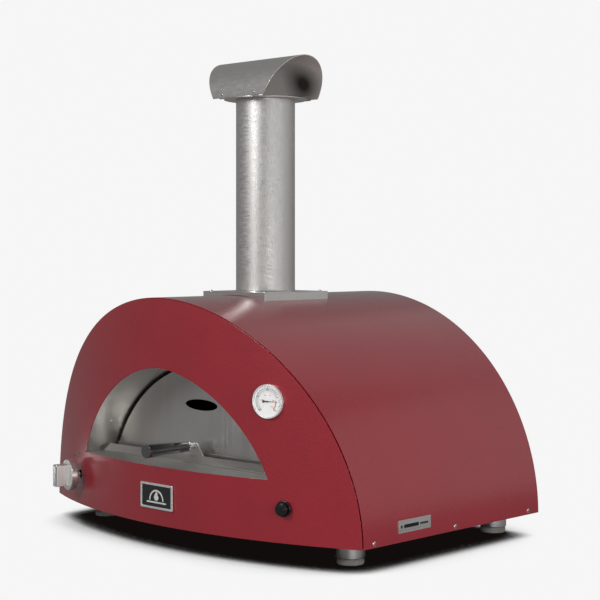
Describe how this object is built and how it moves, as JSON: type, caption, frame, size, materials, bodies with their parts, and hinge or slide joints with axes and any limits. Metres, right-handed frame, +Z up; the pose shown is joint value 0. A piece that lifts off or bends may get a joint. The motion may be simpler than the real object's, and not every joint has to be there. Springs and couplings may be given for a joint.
{
  "type": "countertop pizza oven",
  "caption": "Gas countertop pizza oven: arched casing with a bowed front, lift-out door, tiled hearth, side burner, dial gauge and a capped chimney.",
  "frame": {"origin": "on the worktop, at the centre of the oven's footprint box", "axes": "+Z up, the mouth and the controls face -Y, +X to the right seen from the front"},
  "size_m": [0.9364, 0.71, 1.015],
  "materials": {
    "red_coat": "fine-grained satin powder coat with a soft gloss",
    "brushed_steel": "brushed stainless, fine straight grain",
    "plain_steel": "mill-finish steel sheet",
    "chrome": "polished",
    "brass": "turned, slightly dulled",
    "black_plastic": "moulded, half gloss",
    "grey_plastic": "moulded, matt",
    "ceramic": "unglazed white",
    "firebrick": "cast refractory, open pores",
    "blanket": "ceramic fibre blanket",
    "dial_white": "printed white dial",
    "clear_glass": "clear flat glass",
    "lead_rubber": "silicone sleeve",
    "badge_black": "dark satin enamel"
  },
  "bodies": {
    "oven": {"outer_shell": "red_coat", "front_panel": "red_coat", "rear_panel": "plain_steel", "base_pan": "plain_steel", "mouth_collar": "brushed_steel", "landing_plate": "brushed_steel", "chamber_dome": "plain_steel", "chamber_back": "plain_steel", "hearth_tray": "plain_steel", "hearth_tile_left": "firebrick", "hearth_tile_right": "firebrick", "dome_insulation": "blanket", "rear_insulation": "blanket", "floor_insulation": "blanket", "support_rail_left": "plain_steel", "support_rail_right": "plain_steel", "burner_tube": "plain_steel", "burner_guard": "plain_steel", "mixing_tube": "plain_steel", "gas_valve_body": "brass", "gas_supply_pipe": "brass", "gas_inlet_fitting": "brass", "igniter_housing": "black_plastic", "spark_electrode": "ceramic", "ignition_lead": "lead_rubber", "gauge_case": "chrome", "gauge_dial": "dial_white", "gauge_glass": "clear_glass", "badge_frame": "brushed_steel", "badge_plate": "badge_black", "side_label": "brushed_steel", "flue_saddle": "brushed_steel", "flue_spigot": "plain_steel", "flue_pipe": "brushed_steel", "cap_base": "brushed_steel", "cap_shell": "brushed_steel", "foot_sleeve_front_left": "brushed_steel", "foot_sleeve_front_right": "brushed_steel", "foot_sleeve_rear_left": "brushed_steel", "foot_sleeve_rear_right": "brushed_steel", "side_screw_left_front": "chrome", "side_screw_left_middle": "chrome", "side_screw_left_rear": "chrome", "side_screw_right_front": "chrome", "side_screw_right_middle": "chrome", "side_screw_right_rear": "chrome"},
    "door": {"door_plate": "brushed_steel", "door_lip_bracket": "brushed_steel", "door_handle": "black_plastic", "door_handle_ring": "chrome", "door_handle_cap": "grey_plastic"},
    "valve_plunger": {"valve_plunger": "brass"},
    "control_knob": {"control_knob": "brushed_steel", "valve_stem": "chrome"},
    "igniter_button": {"igniter_button": "black_plastic"},
    "gauge_needle": {"gauge_needle": "black_plastic"},
    "foot_pad_front_left": {"foot_pad_front_left": "plain_steel"},
    "foot_pad_front_right": {"foot_pad_front_right": "plain_steel"},
    "foot_pad_rear_left": {"foot_pad_rear_left": "plain_steel"},
    "foot_pad_rear_right": {"foot_pad_rear_right": "plain_steel"}
  },
  "joints": [
    {"name": "door_pull", "type": "slide", "parent": "oven", "child": "door", "axis": [0, -1, 0], "range_m": [0, 0.3]},
    {"name": "valve_push", "type": "slide", "parent": "oven", "child": "valve_plunger", "axis": [0.2784, 0.9605, 0], "range_m": [0, 0.004], "stiffness_N_per_m": 1500},
    {"name": "knob_turn", "type": "hinge", "parent": "valve_plunger", "child": "control_knob", "pos_m": [-0.311, -0.28023, 0.113], "axis": [-0.2784, -0.9605, 0], "range_deg": [0, 210]},
    {"name": "igniter_press", "type": "slide", "parent": "oven", "child": "igniter_button", "axis": [-0.2838, 0.9589, 0], "range_m": [0, 0.005], "stiffness_N_per_m": 1200},
    {"name": "needle_turn", "type": "hinge", "parent": "oven", "child": "gauge_needle", "pos_m": [0.284, -0.28769, 0.315], "axis": [-0.2543, 0.9671, 0], "range_deg": [-225, 45], "stiffness_Nm_per_rad": 0.004},
    {"name": "foot_level_front_left", "type": "slide", "parent": "oven", "child": "foot_pad_front_left", "axis": [0, 0, -1], "range_m": [0, 0.015]},
    {"name": "foot_level_front_right", "type": "slide", "parent": "oven", "child": "foot_pad_front_right", "axis": [0, 0, -1], "range_m": [0, 0.015]},
    {"name": "foot_level_rear_left", "type": "slide", "parent": "oven", "child": "foot_pad_rear_left", "axis": [0, 0, -1], "range_m": [0, 0.015]},
    {"name": "foot_level_rear_right", "type": "slide", "parent": "oven", "child": "foot_pad_rear_right", "axis": [0, 0, -1], "range_m": [0, 0.015]}
  ]
}
